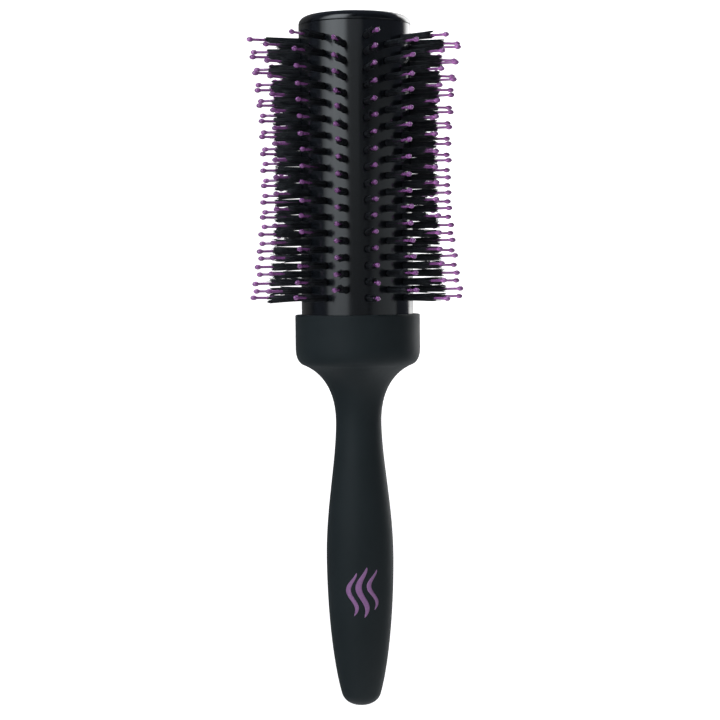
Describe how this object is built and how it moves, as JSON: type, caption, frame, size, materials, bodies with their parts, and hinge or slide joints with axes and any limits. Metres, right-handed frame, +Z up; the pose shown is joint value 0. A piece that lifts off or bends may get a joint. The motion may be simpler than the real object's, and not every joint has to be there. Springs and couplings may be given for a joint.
{
  "type": "round barrel brush",
  "caption": "Round barrel hair brush: glossy black hollow barrel with black bristle tufts and purple ball-tipped pins, flared collar and slim waisted soft-touch handle.",
  "frame": {"origin": "lowest point of the handle's rounded tip, on the brush's axis", "axes": "+Z up the brush's axis, from the handle's tip to the end cap; -Y towards the printed side of the handle"},
  "size_m": [0.0822, 0.0822, 0.2655],
  "materials": {
    "soft_touch": "soft-touch matte, seamless over handle and collar",
    "gloss_barrel": "mirror-gloss moulded black",
    "inner_plastic": "plain moulded, hidden inside",
    "bristle": "black filament, slight sheen",
    "pin_nylon": "satin translucent purple nylon, ball tips",
    "print_ink": "satin purple printed ink",
    "steel": "zinc-plated fastener",
    "brass_insert": "turned brass"
  },
  "bodies": {
    "root": {"grip_skin": "soft_touch", "handle_core": "inner_plastic", "threaded_insert": "brass_insert", "base_plug": "inner_plastic", "barrel_tube": "gloss_barrel", "core_tube": "inner_plastic", "clamp_plate": "inner_plastic", "screw_washer": "steel", "tie_screw": "steel", "end_cap": "gloss_barrel", "bristle_row_01": "bristle", "bristle_row_02": "bristle", "bristle_row_03": "bristle", "bristle_row_04": "bristle", "bristle_row_05": "bristle", "bristle_row_06": "bristle", "bristle_row_07": "bristle", "bristle_row_08": "bristle", "bristle_row_09": "bristle", "bristle_row_10": "bristle", "bristle_row_11": "bristle", "bristle_row_12": "bristle", "bristle_row_13": "bristle", "bristle_row_14": "bristle", "bristle_row_15": "bristle", "bristle_row_16": "bristle", "pin_row_01": "pin_nylon", "pin_row_02": "pin_nylon", "pin_row_03": "pin_nylon", "pin_row_04": "pin_nylon", "pin_row_05": "pin_nylon", "pin_row_06": "pin_nylon", "pin_row_07": "pin_nylon", "pin_row_08": "pin_nylon", "pin_row_09": "pin_nylon", "pin_row_10": "pin_nylon", "pin_row_11": "pin_nylon", "pin_row_12": "pin_nylon", "pin_row_13": "pin_nylon", "pin_row_14": "pin_nylon", "pin_row_15": "pin_nylon", "pin_row_16": "pin_nylon"}
  },
  "joints": []
}
